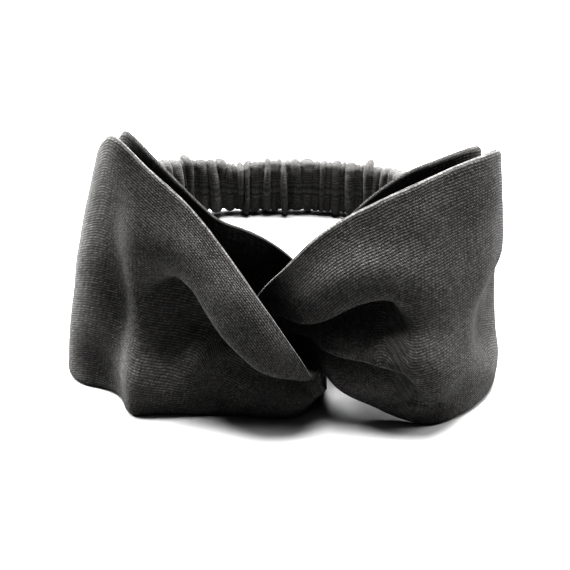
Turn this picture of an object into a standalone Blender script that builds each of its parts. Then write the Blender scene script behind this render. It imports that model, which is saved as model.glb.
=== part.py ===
"""Knotted linen headband: two interlocked fabric loops joined at the back by a gathered elastic.

Frame: +Z up, and the headband stands on its lower edges at Z = 0. The knot faces -Y, the elastic is at +Y
and +X is to the right of someone who looks at the knot. Sizes are in millimetres in the tables and in
metres in Blender.

A section of a loop is one line across the flattened tube: its top edge, its bottom edge, and how far the
cloth bulges between them, away from the inside of the loop. Each loop runs from the elastic round the
front, hooks through the other loop at the knot, and comes back on the inside to the elastic.
"""

import math

import bmesh
import bpy
from mathutils import Vector

MM = 0.001

# Linen loops
CLOTH = 2.4  # thickness of a flattened tube: two plies and their turnings
ACROSS = 6  # spans across a loop
BETWEEN = 3  # spans between two sections of a loop
GATHERED = 21.0  # height of a loop's pleated end, inside the casing
TUCK = 12.0  # how far a loop's end reaches into the casing
TUCK_ROWS = (-4.0, 0.0, 4.0, TUCK)  # sections of that end, by how far they are into the casing

# Elastic and its casing
CASING_HEIGHT = 26.5
CASING_WALL = 1.0
CASING_HALF_MIDDLE = 3.2  # half the casing's thickness, along the gathers
CASING_HALF_MOUTH = 5.6  # and over the ends of two loops
MOUTH_LENGTH = 16.0  # smooth stretch of casing over the loops' ends
ELASTIC = 1.4
ELASTIC_HEIGHT = 22.0
ELASTIC_START = 5.0  # from the casing's mouth: its end is sewn between the loops' ends

# Sewing thread
THREAD = 0.3  # radius
GAP = 0.35  # between a thread and the cloth under it
ROOM = 0.3  # more of it where the cloth curves
STITCH_ROW = 6.0  # of the row of stitches round the casing's mouth, from the mouth
TACK_START = 2.5  # from a loop's end to the zigzag that anchors the elastic
TACK_WIDTH = 3.0
TACK_TEETH = 9
SEAM_START = 8.0  # from a loop's end to the casing's own seam
SEAM_BELOW_MIDDLE = 2.5
CASING_SPANS = 32

# The middle of the casing from its left mouth to its right one
CASING_PATH = (
    (-65.0, 49.0, 25.5),
    (-59.5, 59.0, 23.5),
    (-50.0, 67.0, 20.0),
    (-38.0, 72.5, 16.8),
    (-20.0, 75.0, 15.0),
    (0.0, 75.5, 14.8),
    (20.0, 74.5, 14.8),
    (38.0, 71.0, 15.2),
    (50.0, 65.5, 16.5),
    (58.5, 58.5, 18.5),
    (64.0, 49.0, 21.0),
)

# Left loop. The front run is the band that crosses over at the knot.
LEFT_FRONT = (
    ((-69.5, 35.0, 49.0), (-74.0, 33.0, 6.0), 2.0),
    ((-71.0, 17.0, 61.5), (-80.0, 14.0, 1.0), 3.0),
    ((-68.5, -3.0, 74.0), (-84.0, -7.0, 0.0), 3.0),
    ((-64.5, -22.0, 85.5), (-84.5, -28.0, 0.0), 3.0),
    ((-60.0, -37.0, 96.0), (-82.0, -46.0, 0.0), 3.0),
    ((-54.5, -46.0, 103.5), (-69.0, -56.0, 0.0), 3.0),
    ((-46.0, -50.5, 97.0), (-56.0, -69.0, 0.0), 4.0),
    ((-36.8, -54.5, 89.2), (-44.0, -70.0, 0.0), 4.0),
    ((-24.5, -60.0, 77.5), (-31.0, -70.0, 0.0), 4.0),
    ((-13.5, -66.0, 63.6), (-18.0, -70.5, 0.0), 5.0),
    ((-3.3, -71.5, 48.5), (-6.0, -72.0, 0.0), 5.0),
    ((7.2, -74.5, 32.0), (4.0, -73.0, 1.5), 3.0),
)
LEFT_HOOK = (
    ((16.5, -74.0, 19.0), (11.0, -72.0, 2.0), 0.0),
    ((20.5, -67.0, 10.0), (12.5, -66.5, 1.5), 0.0),
    ((21.0, -58.5, 12.0), (12.5, -58.5, 5.0), 0.0),
    ((18.5, -53.0, 27.0), (7.5, -52.0, 14.0), 0.0),
    ((15.0, -51.5, 42.0), (-1.0, -50.5, 20.0), 0.0),
)
LEFT_BACK = (
    ((6.5, -51.5, 56.0), (-9.0, -50.5, 22.0), 0.0),
    ((-4.0, -52.0, 66.5), (-17.0, -52.0, 19.0), 1.0),
    ((-13.0, -53.5, 72.5), (-25.0, -56.0, 13.0), 2.0),
    ((-22.5, -54.0, 77.5), (-34.0, -60.0, 5.0), 2.0),
    ((-36.0, -49.5, 90.0), (-45.0, -61.5, 0.0), 2.0),
    ((-46.0, -44.0, 98.5), (-56.0, -58.5, 0.0), 2.0),
    ((-52.0, -39.0, 101.5), (-67.0, -48.5, 0.0), 1.0),
    ((-54.5, -31.0, 96.0), (-76.0, -38.0, 0.0), 0.0),
    ((-59.0, -18.0, 85.0), (-78.5, -24.0, 0.0), -1.0),
    ((-63.0, -1.0, 73.0), (-78.5, -6.0, 0.0), -2.0),
    ((-65.5, 17.0, 60.5), (-75.0, 13.5, 1.0), -1.5),
    ((-64.5, 33.0, 48.0), (-69.0, 31.0, 6.0), -1.0),
)

# Right loop. The front run is the fan that comes out from under the left loop.
RIGHT_FRONT = (
    ((68.5, 35.0, 46.0), (73.5, 33.0, 5.0), 2.0),
    ((73.0, 17.0, 57.5), (81.0, 14.0, 1.0), 3.0),
    ((75.0, -3.0, 70.0), (84.5, -7.0, 0.0), 3.0),
    ((76.0, -22.0, 82.0), (85.5, -28.0, 0.0), 2.0),
    ((75.5, -37.0, 92.5), (84.5, -47.0, 0.0), 1.0),
    ((71.0, -47.0, 98.5), (76.5, -64.0, 0.0), 1.0),
    ((60.0, -53.0, 97.5), (66.0, -70.5, 0.0), 3.0),
    ((46.5, -57.0, 93.0), (54.0, -74.5, 0.0), 3.0),
    ((33.5, -59.5, 87.5), (42.0, -75.0, 3.0), 3.0),
    ((22.0, -61.0, 81.5), (31.5, -74.5, 9.0), 3.0),
    ((11.0, -62.5, 73.5), (25.0, -70.0, 16.0), 2.0),
    ((1.5, -63.5, 62.0), (19.5, -65.5, 20.0), 1.0),
)
RIGHT_HOOK = (
    ((-6.5, -65.0, 50.0), (12.5, -65.0, 20.5), 0.0),
    ((-12.5, -66.0, 36.0), (3.0, -65.5, 16.0), 0.0),
    ((-16.0, -66.5, 20.0), (-4.5, -65.5, 8.0), 0.0),
    ((-17.5, -59.5, 8.5), (-8.0, -58.0, 1.5), 0.0),
    ((-15.5, -47.5, 10.5), (-8.0, -47.0, 2.0), 0.0),
)
RIGHT_BACK = (
    ((-9.0, -42.5, 22.0), (-4.0, -42.0, 1.0), 0.0),
    ((0.5, -42.0, 36.0), (4.0, -40.5, 0.0), 2.0),
    ((10.5, -43.0, 51.0), (14.0, -42.0, 0.0), 2.0),
    ((19.0, -48.0, 66.0), (25.0, -47.5, 0.0), 2.0),
    ((27.0, -53.0, 81.5), (36.0, -57.0, 0.0), 2.0),
    ((40.5, -51.0, 91.3), (48.0, -64.0, 0.0), 2.0),
    ((54.0, -47.5, 95.5), (61.0, -62.0, 0.0), 1.0),
    ((66.0, -41.5, 96.3), (71.0, -55.0, 0.0), 0.0),
    ((69.5, -31.5, 90.5), (78.0, -42.0, 0.0), 0.0),
    ((70.0, -18.0, 81.5), (80.5, -24.0, 0.0), -1.0),
    ((69.5, -1.0, 69.5), (79.5, -6.0, 0.0), -1.5),
    ((67.5, 17.0, 57.0), (75.5, 13.5, 1.0), -1.5),
    ((63.5, 33.0, 45.0), (68.0, 31.0, 5.0), -1.0),
)

LINEN = (0.042, 0.041, 0.041, 1.0)
ELASTIC_COLOUR = (0.018, 0.018, 0.019, 1.0)
THREAD_COLOUR = (0.030, 0.029, 0.029, 1.0)


def clear_scene():
    for obj in list(bpy.data.objects):
        bpy.data.objects.remove(obj)


def material(name, colour, roughness):
    """A plain Principled material."""
    made = bpy.data.materials.new(name)
    made.use_nodes = True
    shader = made.node_tree.nodes["Principled BSDF"]
    shader.inputs["Base Color"].default_value = colour
    shader.inputs["Roughness"].default_value = roughness
    shader.inputs["Metallic"].default_value = 0.0
    return made


def spline(values, per_span):
    """Points of a Catmull-Rom curve through vectors, with per_span steps between two of them."""
    padded = [values[0] * 2 - values[1], *values, values[-1] * 2 - values[-2]]
    points = []
    for i in range(len(values) - 1):
        a, b, c, d = padded[i : i + 4]
        for step in range(per_span):
            t = step / per_span
            square = 2 * a - 5 * b + 4 * c - d
            cube = 3 * b - a - 3 * c + d
            points.append(0.5 * (2 * b + (c - a) * t + square * t**2 + cube * t**3))
    return [*points, values[-1]]


class Path:
    """A smooth line through the casing's middle, read by the distance along it, in millimetres."""

    def __init__(self, points):
        self.points = spline([Vector(p) for p in points], 12)
        self.distance = [0.0]
        for a, b in zip(self.points, self.points[1:]):
            self.distance.append(self.distance[-1] + (b - a).length)
        self.length = self.distance[-1]

    def at(self, s):
        """(place, direction along, direction away from the head) at s."""
        i = 1
        while i < len(self.points) - 1 and self.distance[i] < s:
            i += 1
        a, b = self.points[i - 1], self.points[i]
        share = (s - self.distance[i - 1]) / (self.distance[i] - self.distance[i - 1])
        along = (b - a).normalized()
        outward = along.cross(Vector((0, 0, 1))).normalized() * -1
        return a.lerp(b, share), along, outward


def casing_half(path, s):
    """Half the casing's thickness at s: full over the loops' ends, less along the gathers."""
    near = min(s, path.length - s)
    share = min(1.0, max(0.0, (near - MOUTH_LENGTH) / MOUTH_LENGTH))
    share = share * share * (3 - 2 * share)
    return CASING_HALF_MOUTH + (CASING_HALF_MIDDLE - CASING_HALF_MOUTH) * share


def tucked_sections(path, mouth, ply):
    """Sections of a loop's end inside the casing's mouth: mouth is 0 for the left one and 1 for the right.
    ply is +1 for the outer run of the loop and -1 for the inner one."""
    offset = ply * (ELASTIC / 2 + GAP + CLOTH / 2 + ROOM)
    sections = []
    for into in TUCK_ROWS:
        s = into if mouth == 0 else path.length - into
        place, _, outward = path.at(s)
        middle = place + outward * offset
        half = Vector((0, 0, GATHERED / 2))
        sections.append((middle + half, middle - half, 0.0))
    return sections


def loop_rows(front, hook, back, path, mouth):
    """Sections of a whole loop, smoothly in between: (top, bottom, bulge) for each row."""
    typed = [(Vector(top), Vector(bottom), bulge) for top, bottom, bulge in (*front, *hook, *back)]
    sections = [*reversed(tucked_sections(path, mouth, 1)), *typed, *tucked_sections(path, mouth, -1)]
    tops = spline([section[0] for section in sections], BETWEEN)
    bottoms = spline([section[1] for section in sections], BETWEEN)
    bulges = spline([Vector((section[2], 0, 0)) for section in sections], BETWEEN)
    return list(zip(tops, bottoms, [bulge.x for bulge in bulges]))


def loop_grid(rows, side):
    """Points of the loop's middle layer and the direction out of the loop at each, row by row.
    side is +1 where the way along the rows, crossed with up, points out of the loop, and -1 elsewhere."""
    grid = []
    for i, (top, bottom, bulge) in enumerate(rows):
        before, after = rows[max(i - 1, 0)], rows[min(i + 1, len(rows) - 1)]
        line = []
        for j in range(ACROSS + 1):
            v = j / ACROSS
            along = after[1].lerp(after[0], v) - before[1].lerp(before[0], v)
            out = along.cross(top - bottom).normalized() * side
            line.append((bottom.lerp(top, v) + out * bulge * math.sin(math.pi * v), out))
        grid.append(line)
    return grid


def new_object(name, mesh, look):
    obj = bpy.data.objects.new(name, mesh)
    bpy.context.scene.collection.objects.link(obj)
    mesh.materials.append(look)
    mesh.shade_smooth()
    mesh.set_sharp_from_angle(angle=math.radians(40))
    return obj


def closed_mesh(name, rings, closed, look):
    """A solid through rings of points. Its two ends are capped, or joined where closed is true."""
    shape = bmesh.new()
    levels = [[shape.verts.new(point * MM) for point in ring] for ring in rings]
    pairs = list(zip(levels, levels[1:]))
    if closed:
        pairs.append((levels[-1], levels[0]))
    else:
        shape.faces.new(levels[0])
        shape.faces.new(list(reversed(levels[-1])))
    for a, b in pairs:
        for i in range(len(a)):
            k = (i + 1) % len(a)
            shape.faces.new((a[i], b[i], b[k], a[k]))
    bmesh.ops.recalc_face_normals(shape, faces=shape.faces)
    mesh = bpy.data.meshes.new(name)
    shape.to_mesh(mesh)
    shape.free()
    return new_object(name, mesh, look)


def cloth_loop(name, rows, side, look):
    """A loop of flattened tube as one closed sheet. It is cut flat where it stands on the table."""
    rings = []
    for (_, bottom, _), line in zip(rows, loop_grid(rows, side)):
        face = [point + out * CLOTH / 2 for point, out in line]
        back = [point - out * CLOTH / 2 for point, out in line]
        if bottom.z < 0.5:
            face[0].z = back[0].z = 0.0
        rings.append([*face, *reversed(back)])
    return closed_mesh(name, rings, False, look)


def thread(name, points, closed, look, radius=THREAD, sides=5):
    """A thin round thread along points."""
    rings = []
    count = len(points)
    for i, point in enumerate(points):
        before = points[i - 1] if i or closed else point
        after = points[(i + 1) % count] if i < count - 1 or closed else point
        along = (after - before).normalized()
        across = along.orthogonal() if abs(along.z) > 0.9 else along.cross(Vector((0, 0, 1)))
        across.normalize()
        other = along.cross(across)
        ring = []
        for k in range(sides):
            angle = 2 * math.pi * k / sides
            ring.append(point + (across * math.cos(angle) + other * math.sin(angle)) * radius)
        rings.append(ring)
    return closed_mesh(name, rings, closed, look)


def loop_seam(name, rows, side, look):
    """The thread of the tube's own seam, down the middle of the face that the loop turns inwards."""
    middle = ACROSS // 2
    depth = CLOTH / 2 + GAP + THREAD + ROOM
    points = [line[middle][0] - line[middle][1] * depth for line in loop_grid(rows, side)]
    clear_of_casing = 3 * BETWEEN
    return thread(name, points[clear_of_casing:-clear_of_casing], False, look, sides=4)


def casing_ring(path, s, half, height, power=4.0, count=20):
    """A rounded outline round the path at s, as a superellipse."""
    place, _, outward = path.at(s)
    ring = []
    for k in range(count):
        angle = 2 * math.pi * (k + 0.5) / count
        c, n = math.cos(angle), math.sin(angle)
        wide = math.copysign(abs(c) ** (2 / power), c) * half
        tall = math.copysign(abs(n) ** (2 / power), n) * height / 2
        ring.append(place + outward * wide + Vector((0, 0, tall)))
    return ring


def steps(first, last, count):
    return [first + (last - first) * i / count for i in range(count + 1)]


def elastic_casing(path, look):
    """The casing as an open tube: its outside from mouth to mouth, then its inside back again."""
    places = steps(0.0, path.length, CASING_SPANS)
    outside = [casing_ring(path, s, casing_half(path, s), CASING_HEIGHT) for s in places]
    inner_height = CASING_HEIGHT - 2 * CASING_WALL
    inside = [casing_ring(path, s, casing_half(path, s) - CASING_WALL, inner_height, 6.0) for s in places]
    return closed_mesh("elastic_casing", [*outside, *reversed(inside)], True, look)


def elastic_band(path, look):
    """The flat elastic inside the casing, sewn in between the ends of the two loops' runs."""
    rings = []
    for s in steps(ELASTIC_START, path.length - ELASTIC_START, CASING_SPANS):
        place, _, outward = path.at(s)
        wide, tall = outward * ELASTIC / 2, Vector((0, 0, ELASTIC_HEIGHT / 2))
        rings.append([place - wide - tall, place + wide - tall, place + wide + tall, place - wide + tall])
    return closed_mesh("elastic_band", rings, False, look)


def end_stitching(name, path, mouth, look):
    """The row of stitches that goes round the casing's mouth and holds the loop's ends in it."""
    s = STITCH_ROW if mouth == 0 else path.length - STITCH_ROW
    proud = GAP + THREAD
    ring = casing_ring(path, s, casing_half(path, s) + proud, CASING_HEIGHT + 2 * proud, count=28)
    return thread(name, ring, True, look)


def elastic_tack(name, path, mouth, look):
    """The zigzag that anchors one end of the elastic, on the elastic's outer face."""
    points = []
    reach = ELASTIC_HEIGHT / 2 - 2.0
    for i in range(TACK_TEETH):
        into = TUCK + TACK_START + TACK_WIDTH * (i % 2)
        s = into if mouth == 0 else path.length - into
        place, _, outward = path.at(s)
        height = -reach + 2 * reach * i / (TACK_TEETH - 1)
        points.append(place + outward * (ELASTIC / 2 + GAP + THREAD) + Vector((0, 0, height)))
    return thread(name, points, False, look)


def casing_seam(path, look):
    """The thread of the casing's own seam, inside the casing on the side of the head."""
    points = []
    start = TUCK + SEAM_START
    for s in steps(start, path.length - start, CASING_SPANS - 2):
        place, _, outward = path.at(s)
        depth = casing_half(path, s) - CASING_WALL - GAP - THREAD
        points.append(place - outward * depth - Vector((0, 0, SEAM_BELOW_MIDDLE)))
    return thread("casing_seam_stitching", points, False, look)


def main():
    clear_scene()
    linen = material("linen", LINEN, 0.95)
    rubber = material("elastic", ELASTIC_COLOUR, 0.8)
    cotton = material("thread", THREAD_COLOUR, 0.7)
    path = Path(CASING_PATH)
    left = loop_rows(LEFT_FRONT, LEFT_HOOK, LEFT_BACK, path, 0)
    right = loop_rows(RIGHT_FRONT, RIGHT_HOOK, RIGHT_BACK, path, 1)
    cloth_loop("left_loop", left, 1, linen)
    cloth_loop("right_loop", right, -1, linen)
    elastic_casing(path, linen)
    elastic_band(path, rubber)
    loop_seam("left_loop_seam_stitching", left, 1, cotton)
    loop_seam("right_loop_seam_stitching", right, -1, cotton)
    casing_seam(path, cotton)
    for side, mouth in (("left", 0), ("right", 1)):
        end_stitching(f"{side}_end_stitching", path, mouth, cotton)
        elastic_tack(f"{side}_elastic_tack", path, mouth, cotton)


main()
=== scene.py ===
"""Looks of the knotted linen headband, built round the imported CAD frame.

Each linen loop is one long strip of pressed tube. Its middle layer is lofted between a top and a bottom
edge, then dents and folds are worked into it, and it is thickened into two plies with rounded turnings. The
casing is a tube with its gathers worked in the same way. No cloth is simulated: all of it is shaped here.
Tables are in millimetres, in the frame's own axes.
"""

import math
import random

import bpy
import numpy as np
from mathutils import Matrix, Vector, noise

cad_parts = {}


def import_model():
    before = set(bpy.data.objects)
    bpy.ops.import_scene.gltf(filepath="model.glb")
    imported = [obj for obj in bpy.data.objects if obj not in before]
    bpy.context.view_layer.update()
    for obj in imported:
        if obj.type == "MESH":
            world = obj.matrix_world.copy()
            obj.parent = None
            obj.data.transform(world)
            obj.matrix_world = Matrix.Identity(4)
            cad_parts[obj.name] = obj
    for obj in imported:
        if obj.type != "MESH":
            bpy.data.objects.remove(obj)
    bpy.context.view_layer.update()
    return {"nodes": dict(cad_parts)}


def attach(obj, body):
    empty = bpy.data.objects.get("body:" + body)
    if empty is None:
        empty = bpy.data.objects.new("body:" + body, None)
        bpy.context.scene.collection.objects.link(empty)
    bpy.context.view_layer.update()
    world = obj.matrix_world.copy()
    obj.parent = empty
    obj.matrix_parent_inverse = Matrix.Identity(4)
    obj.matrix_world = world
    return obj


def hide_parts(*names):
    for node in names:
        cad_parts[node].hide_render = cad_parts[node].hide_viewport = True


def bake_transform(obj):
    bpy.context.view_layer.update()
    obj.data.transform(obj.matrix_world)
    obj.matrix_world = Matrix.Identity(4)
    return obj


MM = 0.001
UP = np.array([0.0, 0.0, 1.0])

# Linen
ROW_STEP = 1.4  # along a loop, between two rows of points
ACROSS = 90  # spans across a loop
HALF_PLY = 0.75  # half the thickness of the pressed tube
TUBE_WIDTH = 105.0  # of the pressed tube
TURNING = 1.6  # of its rounded edges, in half plies
FULLNESS = 0.35  # how much thicker it is in its middle
LINEN_CLEARANCE = 0.05  # of its lower edge, above the table
THREAD_PITCH = 1.05  # between the threads that run along a tube
CLOSE_PITCH = 0.58  # between the threads that run across it
WANDER = 1.7  # of the threads, from a ruled weave
SLUB_PACE = 0.11  # how fast a thread's thickness changes, for each thread it crosses
THREAD_APART = 7.3  # of neighbouring threads in the noise, so that each is its own
# The linen's colour runs between these two; the darkest end is painted shade in the hollows between threads
LINEN_DARK = (0.0075, 0.0073, 0.0072, 1.0)
LINEN_LIGHT = (0.088, 0.086, 0.084, 1.0)
LINT = (0.22, 0.21, 0.20, 1.0)
ELASTIC_RIB = 0.0012  # in metres, from rib to rib of the braid
ELASTIC_WEAVE = 0.0016
SEAM_DEPTH = 0.35  # of the tube's own seam, a groove along the middle of its inner face
SEAM_WIDTH = 0.7
SECTION_BLEND = 1.6  # how far a loop's sections are evened out, in rows
KNOT_RUN = (0.33, 0.46)  # shares of a loop's length between which its top edge is level in the cloth
PATTERN_ROWS = 3  # rows of points in a cell of the flattened cloth
PATTERN_SPANS = 5  # and spans across it
FRONT_FADE = 6.0  # rows over which folds and dents end where the front run does
DENT_EDGE = 3.2  # how steeply a dent ends

# Waves all over a loop: (height, (size along, size across))
BROAD_WRINKLE = (0.7, (34.0, 26.0))
FINE_WRINKLE = (0.25, (11.0, 14.0))

# Pleats at a loop's gathered ends: (how many across, height, where they are highest, how far they reach)
CLOSE_PLEATS = (7, 0.8, 7.0, 13.0)
BROAD_PLEATS = (3, 1.2, 26.0, 20.0)
PLEAT_SWAY = 0.03
PLEAT_SWAY_RUN = 21.0

# A fold across its lip. Places and reaches are in widths of its valley
ROLL_SHARE = 0.16  # height of the roll above the lip, to the valley's depth
ROLL_ABOVE = 0.9
ROLL_REACH = 0.8
VALLEY_BELOW = 0.62
VALLEY_REACH_UP = 0.32
VALLEY_REACH_DOWN = 0.85
LIP_ABOVE = 0.1  # the cloth there comes down over the valley
LIP_REACH = 0.4
FAR_SIDE_BELOW = 0.9  # the cloth there comes up towards the lip
FAR_SIDE_REACH = 0.5
FAR_SIDE_SHARE = 0.5  # of what the lip moves
FOLD_END = 0.6  # how far past its ends a fold still works
FOLD_BLEND = 4.0  # how fast a fold's points count less with their distance
FOLD_THROUGH = 12.0  # in mm: it works fully on cloth this far in front of it or behind it
FOLD_FADE = 5.0  # in mm, beyond that

# Left loop: (top edge, bottom edge, bulge between them away from the inside of the loop)
LEFT_FRONT = (
    ((-70.0, 35.0, 47.0), (-74.0, 33.0, 8.0), 1.5),
    ((-72.0, 17.0, 60.0), (-80.0, 14.0, 1.0), 1.0),
    ((-70.0, -3.0, 73.5), (-84.0, -7.0, 0.0), 0.5),
    ((-66.3, -24.0, 84.0), (-84.5, -28.0, 0.0), 2.0),
    ((-61.0, -37.0, 97.0), (-83.5, -45.0, 0.0), 2.0),
    ((-56.6, -43.2, 103.5), (-77.5, -53.8, 0.0), 0.5),
    ((-53.8, -46.8, 104.0), (-66.5, -57.3, 0.0), 0.5),
    ((-51.0, -48.5, 102.0), (-60.3, -61.5, 0.0), 1.5),
    ((-46.3, -50.3, 97.2), (-56.6, -71.5, 0.0), 3.0),
    ((-41.5, -52.3, 93.0), (-50.0, -70.3, 0.0), 4.0),
    ((-33.5, -55.5, 86.5), (-40.0, -70.0, 0.0), 4.0),
    ((-24.5, -60.5, 77.9), (-30.0, -70.5, 0.0), 5.0),
    ((-13.5, -67.9, 65.0), (-18.0, -71.0, 0.0), 6.0),
    ((-3.3, -73.2, 50.5), (-6.0, -72.0, 0.0), 5.5),
    ((7.2, -75.8, 33.5), (3.5, -71.5, 0.0), 3.0),
)
LEFT_HOOK = (
    ((15.6, -74.3, 19.0), (9.0, -70.0, 1.5), 0.0),
    ((16.8, -69.0, 12.0), (10.0, -66.0, 1.5), 0.0),
    ((17.0, -60.0, 11.5), (10.5, -58.5, 4.0), 0.0),
    ((16.5, -54.0, 25.0), (7.0, -52.5, 13.0), 0.0),
    ((14.0, -51.5, 41.0), (-1.0, -50.5, 19.0), 0.0),
)
LEFT_BACK = (
    ((6.5, -51.0, 56.0), (-9.0, -50.5, 21.0), 0.0),
    ((-4.0, -51.5, 66.5), (-17.0, -52.0, 18.0), 1.0),
    ((-13.0, -53.0, 72.5), (-25.0, -50.0, 12.0), 4.0),
    ((-22.5, -54.0, 77.5), (-34.0, -52.0, 4.0), 5.0),
    ((-36.0, -49.5, 90.5), (-45.0, -54.5, 0.0), 4.0),
    ((-46.0, -44.3, 99.3), (-56.0, -53.0, 0.0), 2.0),
    ((-52.0, -40.3, 103.3), (-67.0, -48.5, 0.0), 1.0),
    ((-55.5, -32.0, 97.5), (-76.0, -38.0, 0.0), 0.0),
    ((-60.0, -18.0, 86.0), (-78.5, -24.0, 0.0), -1.0),
    ((-64.5, -1.0, 73.0), (-79.0, -6.0, 0.0), -2.0),
    ((-66.5, 17.0, 59.5), (-75.5, 13.5, 1.0), -1.5),
    ((-65.0, 33.0, 46.5), (-69.5, 31.0, 8.0), -1.0),
)

# Right loop
RIGHT_FRONT = (
    ((69.0, 35.0, 43.0), (73.5, 33.0, 5.0), 1.5),
    ((74.0, 17.0, 55.5), (80.5, 14.0, 1.0), 1.5),
    ((77.0, -3.0, 69.0), (84.5, -7.0, 0.0), 1.0),
    ((78.0, -22.0, 82.0), (86.0, -28.0, 0.0), 1.5),
    ((76.5, -36.0, 92.5), (84.8, -46.0, 0.5), 1.5),
    ((73.5, -45.0, 99.0), (81.0, -58.0, 0.8), 0.0),
    ((68.5, -49.8, 99.3), (75.5, -65.0, 0.3), 1.0),
    ((60.0, -53.0, 97.5), (67.5, -71.0, 0.2), 3.0),
    ((46.5, -57.0, 93.0), (56.5, -75.5, 0.0), 5.0),
    ((33.5, -59.5, 87.5), (45.0, -73.7, 1.2), 6.0),
    ((22.0, -61.0, 81.5), (34.0, -72.0, 6.0), 5.0),
    ((11.0, -62.5, 73.5), (26.0, -71.5, 10.2), 3.0),
    ((1.5, -63.5, 62.5), (20.5, -69.0, 13.8), 1.0),
)
RIGHT_HOOK = (
    ((-6.5, -59.0, 50.0), (14.0, -61.5, 16.0), 0.0),
    ((-12.5, -56.5, 36.0), (4.0, -57.0, 12.5), 0.0),
    ((-16.0, -55.5, 20.0), (-4.5, -55.0, 7.0), 0.0),
    ((-17.5, -51.5, 8.5), (-8.0, -50.5, 1.5), 0.0),
    ((-15.5, -46.5, 10.5), (-8.0, -46.0, 2.0), 0.0),
)
RIGHT_BACK = (
    ((-9.0, -42.5, 22.0), (-4.0, -42.0, 1.0), 0.0),
    ((0.5, -42.0, 36.0), (4.0, -40.5, 0.0), 2.0),
    ((10.5, -43.0, 51.0), (14.0, -42.0, 0.0), 2.0),
    ((19.0, -49.0, 67.0), (25.0, -46.0, 0.0), 3.0),
    ((26.5, -54.5, 81.0), (36.0, -51.0, 0.0), 4.0),
    ((40.5, -51.0, 91.8), (48.0, -55.5, 0.0), 4.0),
    ((54.0, -47.5, 96.6), (61.0, -56.0, 0.0), 2.0),
    ((66.0, -43.0, 98.8), (71.0, -52.0, 0.0), 0.0),
    ((70.5, -33.0, 93.0), (78.0, -42.0, 0.0), 0.0),
    ((72.0, -18.0, 82.0), (80.5, -24.0, 0.0), -1.0),
    ((71.0, -1.0, 69.0), (79.5, -6.0, 0.0), -1.5),
    ((68.0, 17.0, 55.5), (75.5, 13.5, 1.0), -1.5),
    ((64.0, 33.0, 43.0), (68.0, 31.0, 5.0), -1.0),
)

# Folds: (point on the lip, depth of the valley below it, width of the valley, how far the lip hangs over it)
LEFT_FOLDS = (
    (
        ((-56.0, -57.0, 48.0), 0.0, 12.0, 0.0),
        ((-47.0, -60.0, 54.5), 4.0, 10.0, 0.5),
        ((-38.2, -63.0, 58.5), 8.0, 9.5, 1.5),
        ((-32.8, -66.0, 58.0), 11.0, 9.0, 2.5),
        ((-28.0, -69.0, 55.5), 14.0, 9.5, 3.0),
        ((-18.0, -73.0, 42.5), 16.0, 9.5, 3.0),
        ((-11.0, -76.0, 35.5), 17.0, 9.0, 3.0),
        ((-4.0, -77.0, 29.5), 16.0, 8.5, 3.0),
        ((4.5, -77.5, 26.5), 14.0, 7.5, 2.5),
        ((10.9, -76.0, 24.0), 12.0, 6.5, 2.0),
        ((17.5, -75.0, 21.5), 6.0, 6.0, 0.5),
    ),
)
RIGHT_FOLDS = (
    (
        ((-2.0, -64.0, 39.0), 6.0, 6.0, 0.5),
        ((3.7, -66.0, 41.0), 8.0, 6.5, 1.5),
        ((14.2, -68.0, 46.0), 10.0, 7.0, 2.0),
        ((22.6, -71.0, 53.0), 12.0, 8.0, 2.5),
        ((29.2, -73.0, 57.0), 14.0, 8.0, 3.0),
        ((35.8, -74.0, 58.5), 13.0, 8.0, 3.0),
        ((41.1, -74.0, 57.0), 10.0, 8.0, 2.5),
        ((45.5, -74.0, 52.5), 6.0, 8.0, 1.5),
        ((49.0, -74.0, 46.0), 2.0, 8.0, 0.5),
        ((51.5, -74.0, 39.0), 0.0, 8.0, 0.0),
    ),
    (
        ((0.0, -64.0, 28.0), 3.0, 4.0, 0.5),
        ((7.3, -66.0, 30.0), 6.0, 4.5, 1.5),
        ((18.2, -68.0, 31.5), 8.0, 5.0, 2.5),
        ((28.7, -72.0, 32.0), 7.0, 5.5, 2.5),
        ((37.3, -76.0, 32.0), 5.0, 6.0, 2.5),
        ((46.0, -79.0, 29.5), 4.0, 7.0, 2.0),
        ((51.7, -80.0, 23.0), 3.0, 7.5, 1.0),
        ((54.5, -78.0, 14.0), 1.5, 8.0, 0.0),
        ((55.0, -76.0, 4.0), 0.0, 8.0, 0.0),
    ),
)

# Dents: (middle, level radius, upright radius, depth; below zero it is a bump)
LEFT_DENTS = (
    ((-45.0, -62.0, 40.0), 17.0, 24.0, 7.0),
    ((-70.0, -54.0, 12.0), 9.0, 12.0, 2.0),
    ((-44.0, -70.0, 15.0), 16.0, 8.0, -2.5),
    ((-14.0, -74.0, 14.0), 22.0, 10.0, 3.5),
)
RIGHT_DENTS = (
    ((78.5, -47.0, 33.0), 17.0, 17.0, 7.0),
    ((82.0, -50.0, 11.0), 12.0, 8.0, -1.0),
    ((45.0, -76.0, 25.0), 24.0, 14.0, -4.5),
)


def spline(values, per_span=12):
    """Points of a Catmull-Rom curve through rows of numbers."""
    values = np.array(values, float)
    padded = np.vstack([2 * values[0] - values[1], values, 2 * values[-1] - values[-2]])
    t = (np.arange(per_span) / per_span)[:, None]
    spans = []
    for a, b, c, d in zip(padded, padded[1:], padded[2:], padded[3:]):
        square = 2 * a - 5 * b + 4 * c - d
        cube = 3 * b - a - 3 * c + d
        spans.append(0.5 * (2 * b + (c - a) * t + square * t**2 + cube * t**3))
    return np.vstack([*spans, values[-1:]])


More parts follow.
